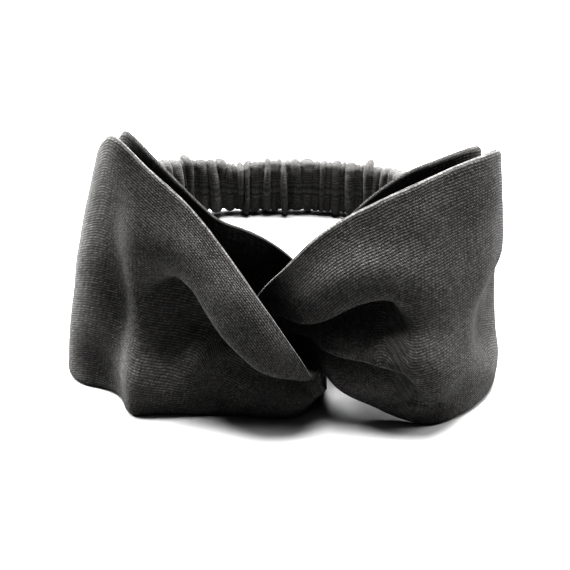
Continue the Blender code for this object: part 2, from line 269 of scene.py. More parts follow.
def softened(rows, reach):
    """Rows of numbers averaged with their neighbours by a bell of that reach in rows. The ends stay."""
    span = int(3 * reach) + 1
    offsets = np.arange(-span, span + 1)
    weights = np.exp(-0.5 * (offsets / reach) ** 2)
    count = len(rows)
    index = np.clip(np.arange(count)[:, None] + offsets, 0, count - 1)
    mixed = (rows[index] * weights[None, :, None]).sum(1) / weights.sum()
    end = np.clip(np.minimum(np.arange(count), np.arange(count)[::-1]) / span, 0, 1)[:, None]
    return rows * (1 - end) + mixed * end


def unit(vectors):
    return vectors / np.maximum(np.linalg.norm(vectors, axis=-1, keepdims=True), 1e-9)


def bell(t):
    return np.exp(-0.5 * t * t)


def measured(points):
    """The distance along a line at each of its points."""
    steps = np.linalg.norm(np.diff(points, axis=0), axis=1)
    return np.concatenate([[0], np.cumsum(steps)])


def read_at(places, known, rows):
    """Rows of numbers that belong to known places, read at other places."""
    return np.stack([np.interp(places, known, column) for column in rows.T], axis=1)


def placed(name, data):
    """A new object in the scene."""
    obj = bpy.data.objects.new(name, data)
    bpy.context.scene.collection.objects.link(obj)
    return obj


def flattened(points):
    """Lays a grid of points out flat with little stretch, and returns each one's place in mm."""
    rows, count = points.shape[:2]
    corners = [
        (i * count + k, i * count + k + 1, (i + 1) * count + k + 1, (i + 1) * count + k)
        for i in range(rows - 1)
        for k in range(count - 1)
    ]
    mesh = bpy.data.meshes.new("pattern")
    mesh.from_pydata(points.reshape(-1, 3).tolist(), [], corners)
    mesh.uv_layers.new(name="pattern")
    obj = placed("pattern", mesh)
    bpy.context.view_layer.objects.active = obj
    obj.select_set(True)
    bpy.ops.object.mode_set(mode="EDIT")
    bpy.ops.mesh.select_all(action="SELECT")
    bpy.ops.uv.unwrap(method="MINIMUM_STRETCH", margin=0.0)
    bpy.ops.object.mode_set(mode="OBJECT")
    spots = np.zeros((len(mesh.loops), 2))
    mesh.uv_layers[0].data.foreach_get("uv", spots.ravel())
    vertex = np.zeros(len(mesh.loops), int)
    mesh.loops.foreach_get("vertex_index", vertex)
    flat = np.zeros((rows * count, 2))
    flat[vertex] = spots
    bpy.data.objects.remove(obj)
    bpy.data.meshes.remove(mesh)
    flat = flat.reshape(rows, count, 2)
    true_size = np.linalg.norm(np.diff(points, axis=1), axis=-1).sum()
    return flat * (true_size / np.linalg.norm(np.diff(flat, axis=1), axis=-1).sum())


class Strip:
    """The middle layer of a loop: a grid of points, with the directions out of the loop and up it."""

    def __init__(self, sections, side):
        rows = np.array([[*top, *bottom, bulge] for top, bottom, bulge in sections], float)
        fine = spline(rows)
        middle = (fine[:, 0:3] + fine[:, 3:6]) / 2
        distance = measured(middle)
        count = int(distance[-1] / ROW_STEP) + 1
        places = np.linspace(0, distance[-1], count)
        even = softened(read_at(places, distance, fine), SECTION_BLEND)
        self.length = distance[-1]
        self.along = places
        self.across = np.linspace(0, 1, ACROSS + 1)
        v = self.across[None, :, None]
        top, bottom, bulge = even[:, None, 0:3], even[:, None, 3:6], even[:, None, 6:7]
        self.points = bottom * (1 - v) + top * v
        self.side = side
        self.frames()
        self.points = self.points + self.out * bulge * np.sin(np.pi * v)
        self.frames()
        self.lay_out()

    def frames(self):
        """Works out the directions from the points as they are."""
        along = unit(np.gradient(self.points, axis=0))
        self.up = unit(np.gradient(self.points, axis=1))
        self.out = unit(np.cross(along, self.up)) * self.side

    def dent(self, middle, level, upright, depth, rows):
        """Pushes a round place in, all of it in one direction. A depth below zero makes a bump."""
        away = self.points - np.array(middle, float)
        reach = np.sqrt((away[..., 0:2] ** 2).sum(-1) / level**2 + (away[..., 2] / upright) ** 2)
        share = np.exp(-(reach**DENT_EDGE)) * rows
        push = unit((self.out * share[..., None]).sum((0, 1)))
        self.points = self.points - push * (depth * share)[..., None]

    def fold(self, lip, rows):
        """Works one fold in: a roll above the lip, and a valley under it."""
        fine = spline([[*point, depth, width, hang] for point, depth, width, hang in lip], 8)
        points = self.points.reshape(-1, 3)
        out, up = self.out.reshape(-1, 3), self.up.reshape(-1, 3)
        tangents = unit(np.gradient(fine[:, 0:3], axis=0))
        gap = points[:, None, :] - fine[None, :, 0:3]
        height = (gap * out[:, None, :]).sum(-1)
        gap = gap - out[:, None, :] * height[..., None]
        share = ((gap**2).sum(-1) + 1.0) ** -FOLD_BLEND
        share = share / share.sum(1, keepdims=True)
        tangent = unit(share @ tangents)
        offset = (share[..., None] * gap).sum(1)
        depth, width, hang = (share @ fine[:, 3:6]).T
        across = unit(np.cross(out, tangent))
        across = across * np.sign((across * up).sum(-1, keepdims=True))
        t = (offset * across).sum(-1)
        past = np.abs((offset * tangent).sum(-1))
        near = bell(past / (FOLD_END * width)) * np.repeat(rows, ACROSS + 1)
        off = np.abs((share * height).sum(1))
        near = near * bell(np.maximum(off - FOLD_THROUGH, 0.0) / FOLD_FADE)
        roll = ROLL_SHARE * depth * bell((t - ROLL_ABOVE * width) / (ROLL_REACH * width))
        reach = np.where(t > -VALLEY_BELOW * width, VALLEY_REACH_UP * width, VALLEY_REACH_DOWN * width)
        valley = depth * bell((t + VALLEY_BELOW * width) / reach)
        far_side = FAR_SIDE_SHARE * bell((t + FAR_SIDE_BELOW * width) / (FAR_SIDE_REACH * width))
        shift = far_side - bell((t - LIP_ABOVE * width) / (LIP_REACH * width))
        moved = points + out * ((roll - valley) * near)[:, None] + across * (hang * shift * near)[:, None]
        self.points = moved.reshape(self.points.shape)

    def pleats(self, start, seed):
        """Pleats that run along the strip, strongest near start, and die out on both sides of it."""
        away = np.abs(self.along - start)
        draw = random.Random(seed)
        turn = [draw.uniform(0, 2 * math.pi) for _ in range(3)]
        v = self.across[None, :] + PLEAT_SWAY * np.sin(away / PLEAT_SWAY_RUN + turn[2])[:, None]
        count, height, peak, reach = CLOSE_PLEATS
        fine = np.sin(2 * np.pi * count * v + turn[0] + 1.1 * np.sin(2 * np.pi * v))
        wave = height * bell((away - peak) / reach)[:, None] * fine
        count, height, peak, reach = BROAD_PLEATS
        broad = np.sin(2 * np.pi * count * v + turn[1] + 0.8 * np.sin(4 * np.pi * v))
        wave = wave + height * bell((away - peak) / reach)[:, None] * broad
        self.points = self.points + self.out * wave[..., None]

    def lay_out(self):
        """Notes how far along the flat cloth each point lies, in mm, before the folds are worked in."""
        last_row = len(self.along) - 1
        coarse_rows = np.unique(np.append(np.arange(0, len(self.along), PATTERN_ROWS), last_row))
        coarse_across = np.arange(0, ACROSS + 1, PATTERN_SPANS)
        flat = flattened(self.points[coarse_rows][:, coarse_across])
        first, last = (np.array(KNOT_RUN) * len(coarse_rows)).astype(int)
        level = flat[last, -1] - flat[first, -1]
        level = level / np.linalg.norm(level)
        every_row = read_at(np.arange(len(self.along)), coarse_rows, flat @ level)
        self.flat_u = read_at(np.arange(ACROSS + 1), coarse_across, every_row.T).T

    def depth_from_top(self):
        """How far each point lies from the top edge, measured over the folds."""
        steps = np.linalg.norm(np.diff(self.points, axis=1), axis=-1)
        depth = np.cumsum(steps[:, ::-1], axis=1)[:, ::-1]
        return np.concatenate([depth, np.zeros((len(steps), 1))], axis=1)

    def cloth_coordinates(self):
        """Where each point lies in the flat cloth, with the length that the folds take up."""
        return self.flat_u, -self.depth_from_top()

    def wrinkle(self, amount, size, seed):
        """Low irregular waves, so that no stretch of the cloth is perfectly even."""
        waves = np.zeros(self.points.shape[:2])
        for i, u in enumerate(self.along):
            for j, v in enumerate(self.across):
                place = Vector((u / size[0] + seed, v * TUBE_WIDTH / size[1], seed * 1.7))
                waves[i, j] = noise.noise(place)
        self.points = self.points + self.out * (amount * waves)[..., None]


def grid_mesh(name, rings, coordinate, flip, ends):
    """A mesh through rings of points. coordinate holds each point's cloth coordinate, with one more column
    for the seam where a ring closes. The first and last rings are capped, or joined where ends is false."""
    rows, count = rings.shape[:2]
    total = rows - 1 if ends else rows
    i, k = np.meshgrid(np.arange(total), np.arange(count), indexing="ij")
    after, n = (i + 1) % rows, (k + 1) % count
    quads = np.stack([i * count + k, i * count + n, after * count + n, after * count + k], axis=-1)
    quads = quads.reshape(-1, 4)
    # The last column and row of coordinates stand for the first ones, one turn further on
    next_row = i + 1
    corners = [(i, k), (i, k + 1), (next_row, k + 1), (next_row, k)]
    spots = np.stack([np.stack(corner, axis=-1) for corner in corners], axis=2).reshape(-1, 4, 2)
    if flip:
        quads, spots = quads[:, ::-1], spots[:, ::-1]
    faces = quads.tolist()
    if ends:
        caps = [list(range(count)), [(rows - 1) * count + c for c in reversed(range(count))]]
        faces += [cap[::-1] for cap in caps] if flip else caps
    mesh = bpy.data.meshes.new(name)
    mesh.from_pydata((rings * MM).reshape(-1, 3).tolist(), [], faces)
    uv = mesh.uv_layers.new(name="cloth")
    values = np.zeros((len(mesh.loops), 2))
    flat = spots.reshape(-1, 2)
    values[: len(flat)] = coordinate[flat[:, 0], flat[:, 1]]
    uv.data.foreach_set("uv", (values * MM).ravel())
    mesh.shade_smooth()
    return placed(name, mesh)


def linen_mesh(name, strip):
    """Thickens a strip's middle layer into a closed pressed tube, with cloth coordinates as its UV map."""
    strip.frames()
    points, v = strip.points, strip.across
    edge = np.minimum(v, 1 - v) * TUBE_WIDTH
    turning = np.clip(edge / (TURNING * HALF_PLY), 0, 1)
    half = HALF_PLY * np.sqrt(np.clip(1 - (1 - turning) ** 2, 0, 1))
    half = half * (1 + FULLNESS * np.sin(np.pi * v))
    seam = SEAM_DEPTH * bell((v - 0.5) * TUBE_WIDTH / SEAM_WIDTH)
    face = points + strip.out * half[None, :, None]
    back = points - strip.out * (half - seam)[None, :, None]
    ring = np.concatenate([face, back[:, -2:0:-1]], axis=1)
    ring[..., 2] = np.maximum(ring[..., 2], LINEN_CLEARANCE)
    flat_u, flat_v = strip.cloth_coordinates()
    around = np.concatenate([flat_v, 2 * TUBE_WIDTH - flat_v[:, -2::-1]], axis=1)
    coordinate = np.stack([np.concatenate([flat_u, flat_u[:, -2::-1]], axis=1), around], axis=-1)
    strip.inner = back
    return grid_mesh(name, ring, coordinate, strip.side > 0, True)


def front_rows(strip, sections, count):
    """1 for the rows of the first sections, 0 for those of the rest, with a short fade."""
    middles = [(np.array(s[0], float) + np.array(s[1], float)) / 2 for s in sections]
    middle = (strip.points[:, 0] + strip.points[:, -1]) / 2
    last = np.linalg.norm(middle - middles[count], axis=1).argmin()
    return np.clip((last - np.arange(len(strip.along))) / FRONT_FADE, 0, 1)


def smooth_share(share):
    return share * share * (3 - 2 * share)


# Elastic casing
CASING_PATH = (
    (-65.0, 49.0, 25.5),
    (-59.5, 59.0, 23.5),
    (-50.0, 67.0, 20.0),
    (-38.0, 72.5, 16.8),
    (-20.0, 75.0, 15.0),
    (0.0, 75.5, 14.8),
    (20.0, 74.5, 14.8),
    (38.0, 71.0, 15.2),
    (50.0, 65.5, 16.5),
    (58.5, 58.5, 18.5),
    (64.0, 49.0, 21.0),
)
CASING_HEIGHT = 26.5
CASING_WALL = 0.8
CASING_HALF_MIDDLE = 2.6
CASING_HALF_MOUTH = 5.6
GATHERED = 21.0
TUCK = 12.0
PLY_OFFSET = 2.55  # of a loop's end from the middle of the casing
CASING_AROUND = 120
CASING_STEP = 0.4  # between two rings of points
CASING_SQUARENESS = 3.2  # power of the superellipse that is its outline
CASING_RISE = CASING_HEIGHT / 2 - 0.7  # of its top edge between the gathers, from its middle
CASING_GRAIN = 0.3
CASING_CLEARANCE = 0.2  # above the table
CASING_SEAM_GROOVE = 0.6
LOOSE_START = 12.0  # from a mouth, where the casing begins to narrow
LOOSE_RUN = 14.0
CASING_GIRTH = 62.0
CASING_SEAM_BELOW = 2.5  # of the casing's seam, below its middle
GATHERS_START = 17.0  # from a mouth
GATHER_HEIGHT = 4.0
GATHER_WIDTH = 3.2  # of a gather that has its full height
GATHER_MOST = 1.25  # how much higher a wide one can get
GATHER_RATIO = 1.4  # of the cloth's length to the casing's
DIP_PLACE = 56.0  # a low place in the casing's top edge
DIP_DEPTH = 2.6
DIP_WIDTH = 4.5
BAND_START = 5.0  # of the elastic, from a mouth
BAND_HEIGHT = 22.0
BAND_HALF = 0.55  # half its thickness, between the ribs
BAND_EDGE = 0.2  # and at its edges
BAND_ROWS = 120
RIBS = 12
RIB_HEIGHT = 0.15
STITCH_ROW = 6.0  # round a mouth, from the mouth


class Path:
    """A smooth line through the casing's middle, read by the distance along it."""

    def __init__(self, points):
        self.points = spline(points)
        self.distance = measured(self.points)
        self.length = self.distance[-1]

    def at(self, s):
        """(places, outward directions) at distances s. Past its ends the line goes straight on."""
        s = np.atleast_1d(np.asarray(s, float))
        inside = np.clip(s, 0, self.length)
        place = read_at(inside, self.distance, self.points)
        ahead = read_at(np.clip(inside + 1.0, 0, self.length), self.distance, self.points)
        behind = read_at(np.clip(inside - 1.0, 0, self.length), self.distance, self.points)
        along = unit(ahead - behind)
        place = place + along * (s - inside)[:, None]
        outward = unit(np.cross(UP, along))
        return place, outward


def tucked_sections(path, mouth, ply):
    """Sections of a loop's end inside the casing's mouth, as the CAD has them."""
    sections = []
    for into in (-4.0, 0.0, 4.0, TUCK):
        s = into if mouth == 0 else path.length - into
        place, outward = path.at(s)
        middle = place[0] + outward[0] * ply * PLY_OFFSET
        half = np.array([0, 0, GATHERED / 2])
        sections.append((tuple(middle + half), tuple(middle - half), 0.0))
    return sections


def linen_loop(name, front, hook, back, folds, dents, path, mouth, seed):
    """One loop, from the outer end in the casing round the knot to the inner end in the casing."""
    outer = tucked_sections(path, mouth, 1)[::-1]
    inner = tucked_sections(path, mouth, -1)
    sections = [*outer, *front, *hook, *back, *inner]
    strip = Strip(sections, 1 if mouth == 0 else -1)
    rows = smooth_share(front_rows(strip, sections, len(outer) + len(front) + 1))
    for middle, level, upright, depth in dents:
        strip.dent(middle, level, upright, depth, rows[:, None])
    strip.frames()
    for lip in folds:
        strip.fold(lip, rows)
    strip.frames()
    strip.pleats(TUCK, seed)
    strip.pleats(strip.length - TUCK, seed)
    strip.wrinkle(*BROAD_WRINKLE, seed)
    strip.frames()
    strip.wrinkle(*FINE_WRINKLE, seed + 5)
    return linen_mesh(name, strip), strip


def valleys(first, last, seed):
    """Places of the valleys between the casing's gathers, with each gather's height and lean."""
    draw = random.Random(seed)
    made = []
    s = first
    while s < last:
        made.append((s, draw.uniform(0.45, 1.0), draw.uniform(-1.3, 1.3), draw.uniform(0, 2 * math.pi)))
        s += draw.choice((2.4, 3.0, 3.6, 4.4, 5.4)) * draw.uniform(0.9, 1.1)
    return made


def superellipse(count, power):
    """The angles of an outline's points, and how far out and up each one is, from -1 to 1."""
    angle = 2 * np.pi * (np.arange(count) + 0.5) / count
    c, n = np.cos(angle), np.sin(angle)
    return angle, np.sign(c) * np.abs(c) ** (2 / power), np.sign(n) * np.abs(n) ** (2 / power)


def casing_half(path, s):
    """Half the casing's depth at distances s, and how far from flat there the mouths have let it go."""
    near = np.minimum(s, path.length - s)
    loose = smooth_share(np.clip((near - LOOSE_START) / LOOSE_RUN, 0, 1))
    return CASING_HALF_MOUTH + (CASING_HALF_MIDDLE - CASING_HALF_MOUTH) * loose, loose


def gathered_relief(s, angle, path):
    """How far the casing's gathers stand out at each distance along it and each angle round it."""
    lines = valleys(GATHERS_START, path.length - GATHERS_START, 11)
    relief = np.zeros((len(s), len(angle)))
    for k, a in enumerate(angle):
        places = np.array([at + lean * math.sin(a + turn) for at, _, lean, turn in lines])
        places = np.maximum.accumulate(places + 0.02 * np.arange(len(places)))
        sway = [0.75 + 0.35 * math.sin(a + 2 * turn) for _, _, _, turn in lines]
        heights = np.array([height * part for (_, height, _, _), part in zip(lines, sway)])
        at = np.clip(np.searchsorted(places, s) - 1, 0, len(places) - 2)
        width = np.maximum(places[at + 1] - places[at], 0.3)
        x = np.clip((s - places[at]) / width, 0, 1)
        inside = (s > places[0]) & (s < places[-1])
        ridge = np.sqrt(np.clip(1 - (2 * x - 1) ** 2, 0, 1))
        ridge = ridge * np.minimum(width / GATHER_WIDTH, GATHER_MOST)
        relief[:, k] = ridge * heights[at] * inside
    return relief


def casing_piece(path):
    """The gathered tube round the elastic, open at its two mouths."""
    s = np.linspace(0, path.length, int(path.length / CASING_STEP) + 1)
    place, outward = path.at(s)
    half, loose = casing_half(path, s)
    angle, wide, tall = superellipse(CASING_AROUND, CASING_SQUARENESS)
    relief = GATHER_HEIGHT * gathered_relief(s, angle, path) * loose[:, None]
    grain = np.zeros_like(relief)
    for i, at in enumerate(s):
        for k, a in enumerate(angle):
            grain[i, k] = noise.noise(Vector((at / 5.0, math.cos(a) * 1.5, math.sin(a) * 3.0)))
    dip = DIP_DEPTH * bell((s - DIP_PLACE) / DIP_WIDTH)
    dipped = dip[:, None] * (tall > 0)[None, :]
    spread = half[:, None] + relief + CASING_GRAIN * grain
    rise = CASING_RISE + 0.6 * relief + CASING_GRAIN * grain - dipped
    from_seam = tall * CASING_HEIGHT / 2 + CASING_SEAM_BELOW
    seam = CASING_SEAM_GROOVE * bell(from_seam / CASING_SEAM_GROOVE) * (wide < 0)
    outer = (
        place[:, None, :]
        + outward[:, None, :] * (wide[None, :] * (spread - seam[None, :]))[..., None]
        + UP * (tall[None, :] * rise)[..., None]
    )
    inner = (
        place[:, None, :]
        + outward[:, None, :] * (wide[None, :] * (half[:, None] - CASING_WALL))[..., None]
        + UP * (tall[None, :] * (CASING_HEIGHT / 2 - CASING_WALL - dipped))[..., None]
    )
    back = slice(None, None, -5)
    rings = np.concatenate([outer, inner[back]], axis=0)
    rings[..., 2] = np.maximum(rings[..., 2], CASING_CLEARANCE)
    around = np.concatenate([s, s[back], s[:1]]) * GATHER_RATIO
    girth = np.arange(CASING_AROUND + 1) * CASING_GIRTH / CASING_AROUND
    coordinate = np.stack(np.broadcast_arrays(around[:, None], girth[None, :]), axis=-1)
    return grid_mesh("gathered_casing", rings, coordinate, True, False)


def band_piece(path):
    """The ribbed elastic band inside the casing."""
    s = np.linspace(BAND_START, path.length - BAND_START, BAND_ROWS)
    place, outward = path.at(s)
    heights = np.linspace(-1, 1, 6 * RIBS + 1)
    half = BAND_HALF + RIB_HEIGHT * np.abs(np.sin(np.pi * RIBS * (heights + 1) / 2))
    half[[0, -1]] = BAND_EDGE
    thickness = outward[:, None, :] * half[None, :, None]
    lift = UP * (heights * BAND_HEIGHT / 2)[None, :, None]
    face = place[:, None, :] + thickness + lift
    rear = place[:, None, :] - thickness + lift
    rings = np.concatenate([face, rear[:, ::-1]], axis=1)
    count = rings.shape[1]
    coordinate = np.stack(np.meshgrid(s, np.arange(count + 1) * 0.3, indexing="ij"), axis=-1)
    return grid_mesh("ribbed_elastic", rings, coordinate, True, True)


def stitches(name, points, outs, length, gap, radius):
    """A row of stitches along points: each is a short thread that dips into the cloth at both ends."""
    points, outs = np.array(points), np.array(outs)
    distance = measured(points)
    sides, rings = 8, 9
    vertices, faces = [], []
    start = 0.0
    while start + length <= distance[-1]:
        t = np.linspace(start, start + length, rings)
        middle = read_at(t, distance, points)
        out = unit(read_at(t, distance, outs))
        along = unit(np.gradient(middle, axis=0))
        across = unit(np.cross(along, out))
        x = np.linspace(-1, 1, rings)
        middle = middle + out * (radius * (1.3 * (1 - x**4) - 0.8))[:, None]
        thick = radius * np.sqrt(np.clip(1.02 - x**6, 0.02, 1))
        first = len(vertices)
        for i in range(rings):
            for k in range(sides):
                a = 2 * math.pi * k / sides
                vertices.append(middle[i] + (across[i] * math.cos(a) + out[i] * math.sin(a)) * thick[i])
        for i in range(rings - 1):
            for k in range(sides):
                a, b = first + i * sides + k, first + i * sides + (k + 1) % sides
                faces.append((a, a + sides, b + sides, b))
        faces.append([first + k for k in range(sides)])
        faces.append([first + (rings - 1) * sides + k for k in reversed(range(sides))])
        start += length + gap
    mesh = bpy.data.meshes.new(name)
    mesh.from_pydata((np.array(vertices) * MM).tolist(), [], faces)
    mesh.shade_smooth()
    return placed(name, mesh)


def mouth_stitches(name, path, mouth):
    """The row of stitches that goes round a mouth of the casing."""
    s = STITCH_ROW if mouth == 0 else path.length - STITCH_ROW
    place, outward = path.at(s)
    angle, wide, tall = superellipse(96, CASING_SQUARENESS)
    half, _ = casing_half(path, np.array([s]))
    ring = place + outward * (wide * half[0])[:, None] + UP * (tall * CASING_RISE)[:, None]
    outs = unit(outward * np.cos(angle)[:, None] + UP * np.sin(angle)[:, None])
    closed = np.concatenate([ring, ring[:1]])
    return stitches(name, closed, np.concatenate([outs, outs[:1]]), 2.3, 0.7, 0.22)


def seam_stitches(name, strip):
    """The thread of a tube's own seam, in the groove along the middle of its inner face."""
    middle = ACROSS // 2
    first = int((TUCK + 6.0) / ROW_STEP)
    points = strip.inner[first:-first, middle]
    outs = -strip.out[first:-first, middle]
    return stitches(name, points, outs, 2.0, 1.0, 0.16)


def casing_seam_stitches(path):
    """The thread of the casing's own seam, in the groove on the side of the head."""
    s = np.linspace(GATHERS_START, path.length - GATHERS_START, 200)
    place, outward = path.at(s)
    half, _ = casing_half(path, s)
    points = place - outward * (half - 0.3)[:, None] - np.array([0.0, 0.0, CASING_SEAM_BELOW])
    return stitches("casing_seam_stitches", points, -outward, 1.6, 0.9, 0.16)


# Materials
def node(tree, kind, **values):
    made = tree.nodes.new(kind)
    for key, value in values.items():
        if key in made.inputs:
            made.inputs[key].default_value = value
        else:
            setattr(made, key, value)
    return made


def feed(tree, socket, value):
    """Links another node's socket in, or sets a plain value."""
    if isinstance(value, bpy.types.NodeSocket):
        tree.links.new(value, socket)
    else:
        socket.default_value = value


def maths(tree, operation, a, b=None, c=None):
    made = tree.nodes.new("ShaderNodeMath")
    made.operation = operation
    for socket, value in zip(made.inputs, (a, b, c)):
        if value is not None:
            feed(tree, socket, value)
    return made.outputs[0]


def mixed(tree, kind, share, low, high, clamp=True):
    """A Mix node of that data type. share, low and high are sockets or plain values."""
    made = tree.nodes.new("ShaderNodeMix")
    made.data_type = kind
    made.clamp_factor = clamp
    first = {"FLOAT": 2, "VECTOR": 4, "RGBA": 6}[kind]
    feed(tree, made.inputs[0], share)
    feed(tree, made.inputs[first], low)
    feed(tree, made.inputs[first + 1], high)
    return made.outputs[{"FLOAT": 0, "VECTOR": 1, "RGBA": 2}[kind]]


def joined(tree, x, y, z=0.0):
    made = tree.nodes.new("ShaderNodeCombineXYZ")
    for socket, value in zip(made.inputs, (x, y, z)):
        feed(tree, socket, value)
    return made.outputs[0]


def noise_at(tree, place, **values):
    made = node(tree, "ShaderNodeTexNoise", **values)
    tree.links.new(place, made.inputs["Vector"])
    return made.outputs["Fac"]


def new_material(name):
    """(the material, its node tree, its shader)"""
    mat = bpy.data.materials.new(name)
    mat.use_nodes = True
    return mat, mat.node_tree, mat.node_tree.nodes["Principled BSDF"]


def linen_material(name, contrast_and_shade):
    """Plain-weave linen: threads over and under each other, uneven in thickness and shade, with lint. The
    hollows between threads are painted darker and the crowns lighter, as painted shade, and a lower contrast
    also darkens the whole cloth, as painted shade.
    """
    mat, tree, shader = new_material(name)
    link = tree.links.new
    uv = node(tree, "ShaderNodeUVMap", uv_map="cloth").outputs[0]

    # The threads wander a little, so the weave isn't ruled
    wander = node(tree, "ShaderNodeTexNoise", Scale=110.0, Detail=3.0)
    link(uv, wander.inputs["Vector"])
    centred = node(tree, "ShaderNodeVectorMath", operation="SUBTRACT")
    centred.inputs[1].default_value = (0.5, 0.5, 0.5)
    link(wander.outputs["Color"], centred.inputs[0])
    shift = node(tree, "ShaderNodeVectorMath", operation="MULTIPLY_ADD")
    shift.inputs[1].default_value = (WANDER * MM, WANDER * MM, 0.0)
    link(centred.outputs[0], shift.inputs[0])
    link(uv, shift.inputs[2])
    split = node(tree, "ShaderNodeSeparateXYZ")
    link(shift.outputs[0], split.inputs[0])

    # Thread numbers along and across, and how far from the middle of each thread a point is
    x = maths(tree, "DIVIDE", split.outputs[0], CLOSE_PITCH * MM)
    y = maths(tree, "DIVIDE", split.outputs[1], THREAD_PITCH * MM)
    across_x = maths(tree, "SINE", maths(tree, "MULTIPLY", x, math.pi))
    across_y = maths(tree, "SINE", maths(tree, "MULTIPLY", y, math.pi))
    over = maths(tree, "MULTIPLY", across_x, across_y)
    column, row = maths(tree, "FLOOR", x), maths(tree, "FLOOR", y)

    # Each thread has its own shade, and slubs along it
    along_row = maths(tree, "MULTIPLY", x, SLUB_PACE)
    which_row = maths(tree, "MULTIPLY", row, THREAD_APART)
    row_slub = noise_at(tree, joined(tree, along_row, which_row), Scale=1.0)
    which_column = maths(tree, "MULTIPLY", column, THREAD_APART)
    along_column = maths(tree, "MULTIPLY", y, SLUB_PACE)
    column_slub = noise_at(tree, joined(tree, which_column, along_column, 5.0), Scale=1.0)
    row_round = maths(tree, "POWER", maths(tree, "ABSOLUTE", across_y), 0.8)
    column_round = maths(tree, "POWER", maths(tree, "ABSOLUTE", across_x), 0.8)
    row_height = maths(tree, "MULTIPLY", row_round, maths(tree, "MULTIPLY_ADD", over, 0.22, 0.72))
    column_height = maths(tree, "MULTIPLY", column_round, maths(tree, "MULTIPLY_ADD", over, -0.3, 0.42))
    row_height = maths(tree, "MULTIPLY", row_height, maths(tree, "MULTIPLY_ADD", row_slub, 0.7, 0.65))
    column_thickness = maths(tree, "MULTIPLY_ADD", column_slub, 0.9, 0.55)
    column_height = maths(tree, "MULTIPLY", column_height, column_thickness)
    weave = maths(tree, "MAXIMUM", row_height, column_height)

    # Single crowns differ, and pale lint lies on some of them
    speck = node(tree, "ShaderNodeTexWhiteNoise", noise_dimensions="2D")
    link(joined(tree, column, row), speck.inputs["Vector"])
    crown = maths(tree, "MULTIPLY_ADD", speck.outputs["Value"], 0.7, 0.65)
    place = node(tree, "ShaderNodeTexCoord").outputs["Object"]
    cloud = noise_at(tree, place, Scale=55.0, Detail=5.0, Roughness=0.6)
    fibre = noise_at(tree, place, Scale=2300.0, Detail=2.0)
    dust = maths(tree, "SUBTRACT", noise_at(tree, place, Scale=1100.0, Detail=1.0), 0.735)
    lint = maths(tree, "MAXIMUM", maths(tree, "MULTIPLY", dust, 9.0 * contrast_and_shade), 0.0)

    # Painted shade: the weave's height also sets the colour, darker in the hollows and holes between threads
    # and lighter on the crowns; the crowns' speck, the slubs, cloud and fibre are the cloth's own tone
    tone_and_painted_shade = maths(tree, "MULTIPLY", weave, crown)
    # A lower contrast flattens the weave and also darkens the whole cloth: painted shade, which the casing's
    # copy of the linen takes
    tone_and_painted_shade = maths(tree, "MULTIPLY_ADD", maths(tree, "SUBTRACT", tone_and_painted_shade, 0.55), contrast_and_shade, 0.26 + 0.24 * contrast_and_shade)
    tone_and_painted_shade = maths(tree, "ADD", tone_and_painted_shade, maths(tree, "MULTIPLY_ADD", cloud, 0.5, -0.25))
    tone_and_painted_shade = maths(tree, "ADD", tone_and_painted_shade, maths(tree, "MULTIPLY_ADD", fibre, 0.8, -0.4))
    tone_and_painted_shade = maths(tree, "MINIMUM", maths(tree, "MAXIMUM", tone_and_painted_shade, 0.0), 1.4)
    # The brightest crowns go past the light colour, so the share isn't clamped
    shade = mixed(tree, "RGBA", tone_and_painted_shade, LINEN_DARK, LINEN_LIGHT, clamp=False)
    colour = mixed(tree, "RGBA", lint, shade, LINT)
    link(colour, shader.inputs["Base Color"])

    relief = maths(tree, "ADD", weave, maths(tree, "MULTIPLY", fibre, 0.3))
    bump = node(tree, "ShaderNodeBump", Strength=0.9, Distance=0.0003 * contrast_and_shade)
    link(relief, bump.inputs["Height"])
    link(bump.outputs[0], shader.inputs["Normal"])
    link(maths(tree, "MULTIPLY_ADD", weave, -0.12, 1.0), shader.inputs["Roughness"])
    shader.inputs["Specular IOR Level"].default_value = 0.12
    shader.inputs["Sheen Weight"].default_value = 0.06
    shader.inputs["Sheen Roughness"].default_value = 0.5
    return mat


def thread_material():
    """Twisted sewing thread, coloured darker in the grooves of its twist, as painted shade."""
    mat, tree, shader = new_material("sewing_thread")
    place = node(tree, "ShaderNodeTexCoord")
    twist = node(tree, "ShaderNodeTexWave", Scale=900.0, Distortion=0.6)
    tree.links.new(place.outputs["Object"], twist.inputs["Vector"])
    # Painted shade: the colour follows the twist's relief, darker in its grooves
    ramp = node(tree, "ShaderNodeValToRGB")
    ramp.color_ramp.elements[0].color = (0.012, 0.012, 0.012, 1.0)
    ramp.color_ramp.elements[1].color = (0.045, 0.044, 0.043, 1.0)
    tree.links.new(twist.outputs["Fac"], ramp.inputs[0])
    tree.links.new(ramp.outputs[0], shader.inputs["Base Color"])
    bump = node(tree, "ShaderNodeBump", Strength=0.5, Distance=0.0001)
    tree.links.new(twist.outputs["Fac"], bump.inputs["Height"])
    tree.links.new(bump.outputs[0], shader.inputs["Normal"])
    shader.inputs["Roughness"].default_value = 0.6
    return mat


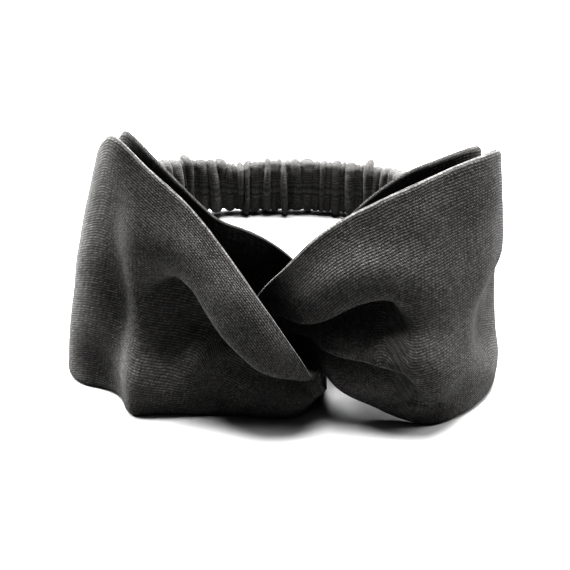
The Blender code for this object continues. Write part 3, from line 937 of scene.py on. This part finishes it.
def elastic_material():
    """Braided elastic: fine ribs along the band with a faint cross weave, coloured darker where the relief
    is low, as painted shade in the troughs.
    """
    mat, tree, shader = new_material("braided_elastic")
    place = node(tree, "ShaderNodeTexCoord")
    split = node(tree, "ShaderNodeSeparateXYZ")
    tree.links.new(place.outputs["Object"], split.inputs[0])
    ribs = maths(tree, "SINE", maths(tree, "MULTIPLY", split.outputs[2], 2 * math.pi / ELASTIC_RIB))
    weave = maths(tree, "SINE", maths(tree, "MULTIPLY", split.outputs[0], 2 * math.pi / ELASTIC_WEAVE))
    height = maths(tree, "MULTIPLY_ADD", weave, 0.3, ribs)
    # Painted shade: the colour follows the relief, darker in the troughs
    tone_and_painted_shade = maths(tree, "MULTIPLY_ADD", height, 0.3, 0.5)
    ramp = node(tree, "ShaderNodeValToRGB")
    ramp.color_ramp.elements[0].color = (0.008, 0.008, 0.008, 1.0)
    ramp.color_ramp.elements[1].color = (0.028, 0.028, 0.029, 1.0)
    tree.links.new(tone_and_painted_shade, ramp.inputs[0])
    tree.links.new(ramp.outputs[0], shader.inputs["Base Color"])
    bump = node(tree, "ShaderNodeBump", Strength=0.6, Distance=0.00025)
    tree.links.new(height, bump.inputs["Height"])
    tree.links.new(bump.outputs[0], shader.inputs["Normal"])
    shader.inputs["Roughness"].default_value = 0.7
    return mat


# Stage, in metres
CAMERA_LENS = 60.63
CAMERA_TARGET = Vector((0.0019, -0.041, 0.039))
CAMERA_ELEVATION = 36.0
CAMERA_DISTANCE = 0.363
TABLE_HALF = 4.0
TABLE_SHADE = 0.28
ROOM_LIGHT = 0.018
LIT_PLACE = Vector((0.0, 0.0, 0.04))
SOFTBOX_DISTANCE = 1.2
SOFTBOXES = (
    # name, azimuth to the right of the camera, elevation, size, power
    ("top_light", 180.0, 77.0, 0.7, 110.0),
    ("back_light", 180.0, 45.0, 0.8, 12.0),
    ("left_light", -108.0, 30.0, 0.5, 32.0),
    ("right_light", 100.0, 30.0, 0.5, 21.0),
    ("front_light", 35.0, 70.0, 0.6, 1.0),
)


def studio():
    """A white table and backdrop in soft light from above."""
    mesh = bpy.data.meshes.new("table")
    corners = [(x * TABLE_HALF, y * TABLE_HALF, 0) for x, y in ((-1, -1), (1, -1), (1, 1), (-1, 1))]
    mesh.from_pydata(corners, [], [(0, 1, 2, 3)])
    floor = placed("table", mesh)
    paper, _, shader = new_material("white_paper")
    shader.inputs["Base Color"].default_value = (TABLE_SHADE, TABLE_SHADE, TABLE_SHADE, 1.0)
    shader.inputs["Roughness"].default_value = 0.9
    shader.inputs["Specular IOR Level"].default_value = 0.1
    mesh.materials.append(paper)

    world = bpy.data.worlds.new("studio")
    world.use_nodes = True
    bpy.context.scene.world = world
    background = world.node_tree.nodes["Background"]
    background.inputs["Color"].default_value = (1.0, 1.0, 1.0, 1.0)
    background.inputs["Strength"].default_value = ROOM_LIGHT
    for name, azimuth, elevation, size, power in SOFTBOXES:
        light = bpy.data.lights.new(name, "AREA")
        light.shape = "DISK"
        light.size = size
        light.energy = power
        lamp = placed(name, light)
        a, e = math.radians(azimuth), math.radians(elevation)
        away = Vector((math.sin(a) * math.cos(e), -math.cos(a) * math.cos(e), math.sin(e)))
        lamp.location = LIT_PLACE + away * SOFTBOX_DISTANCE
        lamp.rotation_euler = away.to_track_quat("Z", "Y").to_euler()


def camera():
    data = bpy.data.cameras.new("camera")
    data.sensor_width = 36.0
    data.lens = CAMERA_LENS
    data.clip_start = 0.01
    cam = placed("camera", data)
    elevation = math.radians(CAMERA_ELEVATION)
    away = Vector((0, -math.cos(elevation), math.sin(elevation)))
    cam.location = CAMERA_TARGET + away * CAMERA_DISTANCE
    cam.rotation_euler = (CAMERA_TARGET - cam.location).to_track_quat("-Z", "Y").to_euler()
    bpy.context.scene.camera = cam
    view = bpy.context.scene.view_settings
    view.view_transform = "Standard"
    view.look = "Very High Contrast"


def finish(piece, look, stands_for):
    piece.data.materials.append(look)
    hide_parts(stands_for)


def main():
    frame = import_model()
    camera()
    studio()
    path = Path(CASING_PATH)
    left, left_strip = linen_loop(
        "left_linen", LEFT_FRONT, LEFT_HOOK, LEFT_BACK, LEFT_FOLDS, LEFT_DENTS, path, 0, 1
    )
    right, right_strip = linen_loop(
        "right_linen", RIGHT_FRONT, RIGHT_HOOK, RIGHT_BACK, RIGHT_FOLDS, RIGHT_DENTS, path, 1, 9
    )
    casing = casing_piece(path)
    band = band_piece(path)
    casing_seam = casing_seam_stitches(path)

    # The casing's copy of the linen is darker: painted shade, as the casing sits in shade
    linen, shaded_casing_cloth = linen_material("charcoal_linen", 0.75), linen_material("casing_linen_painted_shade", 0.45)
    thread, elastic = thread_material(), elastic_material()

    finish(left, linen, "left_loop")
    finish(right, linen, "right_loop")
    finish(casing, shaded_casing_cloth, "elastic_casing")
    finish(band, elastic, "elastic_band")
    finish(casing_seam, thread, "casing_seam_stitching")
    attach(left, "left_half")
    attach(right, "right_half")
    for side, mouth, strip in (("left", 0, left_strip), ("right", 1, right_strip)):
        mouth_row = mouth_stitches(f"{side}_mouth_stitches", path, mouth)
        seam_row = seam_stitches(f"{side}_seam_stitches", strip)
        finish(mouth_row, thread, f"{side}_end_stitching")
        finish(seam_row, thread, f"{side}_loop_seam_stitching")
        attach(mouth_row, f"{side}_half")
        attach(seam_row, f"{side}_half")
        frame["nodes"][f"{side}_elastic_tack"].data.materials.clear()
        frame["nodes"][f"{side}_elastic_tack"].data.materials.append(thread)
    for piece in (casing, band, casing_seam):
        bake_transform(piece)


main()
